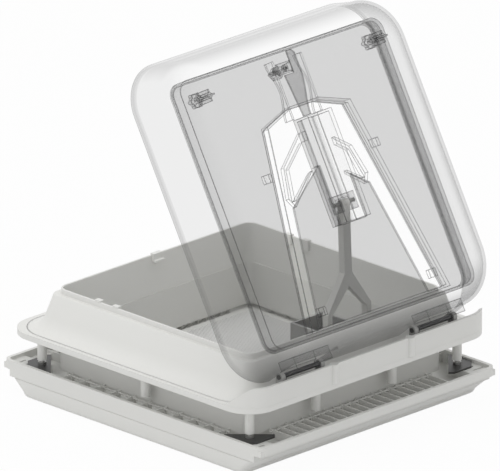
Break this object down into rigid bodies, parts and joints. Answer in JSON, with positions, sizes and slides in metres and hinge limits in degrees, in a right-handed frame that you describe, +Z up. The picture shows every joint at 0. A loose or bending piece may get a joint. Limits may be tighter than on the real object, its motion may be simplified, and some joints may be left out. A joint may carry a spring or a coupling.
{
  "type": "caravan roof vent",
  "caption": "Square roof vent for a caravan: clear double dome hinged on a roof frame, stay arm, duct, clamped ceiling frame and fly screen.",
  "frame": {"origin": "centre of the underside of the trim bezel, on the duct's axis", "axes": "+X along the hinge line, +Y from the hinge side to the free side, +Z up and out of the roof"},
  "size_m": [0.348, 0.3799, 0.3958],
  "materials": {
    "frame_plastic": "satin moulded",
    "duct_plastic": "fine moulded grain",
    "net": "woven net",
    "dark_steel": "dark zinc",
    "steel": "bright zinc",
    "clear_acrylic": "clear moulded",
    "tinted_acrylic": "smoke tinted",
    "grey_acrylic": "smoke moulded",
    "seal_rubber": "matt",
    "arm_plastic": "fine moulded grain"
  },
  "bodies": {
    "base": {"trim_bezel": "frame_plastic", "ceiling_tray": "frame_plastic", "screen_frame": "frame_plastic", "fly_screen": "net", "duct_liner": "duct_plastic", "roof_flange": "frame_plastic", "flange_bosses": "frame_plastic", "roof_collar": "frame_plastic", "hinge_wall": "frame_plastic", "clamp_plates": "dark_steel", "clamp_screws": "steel", "hinge_bracket_left": "frame_plastic", "hinge_bracket_right": "frame_plastic", "hinge_rod_left": "dark_steel", "hinge_rod_right": "dark_steel", "free_side_catch": "frame_plastic", "side_hooks": "frame_plastic", "arm_housing": "duct_plastic", "arm_pivot_pin": "steel"},
    "dome": {"outer_dome": "clear_acrylic", "inner_pane": "tinted_acrylic", "pane_seal": "seal_rubber", "opener_pocket": "clear_acrylic", "opener_rail": "grey_acrylic", "grip_loop_left": "clear_acrylic", "grip_loop_right": "clear_acrylic", "hinge_knuckle_left": "clear_acrylic", "hinge_knuckle_right": "clear_acrylic", "spacer_bosses": "clear_acrylic", "spacer_caps": "grey_acrylic", "pocket_clips": "clear_acrylic", "latch_channel": "clear_acrylic", "latch_strip": "grey_acrylic", "latch_base": "grey_acrylic"},
    "latch": {"latch_hook": "grey_acrylic"},
    "arm": {"stay_arm": "arm_plastic", "head_pin": "steel"},
    "slider": {"rail_slider": "arm_plastic"}
  },
  "joints": [
    {"name": "dome_hinge", "type": "hinge", "parent": "base", "child": "dome", "pos_m": [0, -0.1654, 0.0952], "axis": [1, 0, 0], "range_deg": [-60.5, 0]},
    {"name": "arm_pivot", "type": "hinge", "parent": "base", "child": "arm", "pos_m": [0.016, -0.122, 0.1], "axis": [1, 0, 0], "range_deg": [-79, 0]},
    {"name": "slider_pivot", "type": "hinge", "parent": "arm", "child": "slider", "pos_m": [0.016, -0.11636, 0.23061], "axis": [1, 0, 0], "range_deg": [0, 18.5]},
    {"name": "latch_pivot", "type": "hinge", "parent": "dome", "child": "latch", "pos_m": [0.002, -0.04064, 0.35551], "axis": [1, 0, 0], "range_deg": [0, 35]}
  ],
  "couplings": [
    {"joint": "arm_pivot", "follows": "dome_hinge", "ratio": 1.3},
    {"joint": "slider_pivot", "follows": "dome_hinge", "ratio": -0.3}
  ]
}
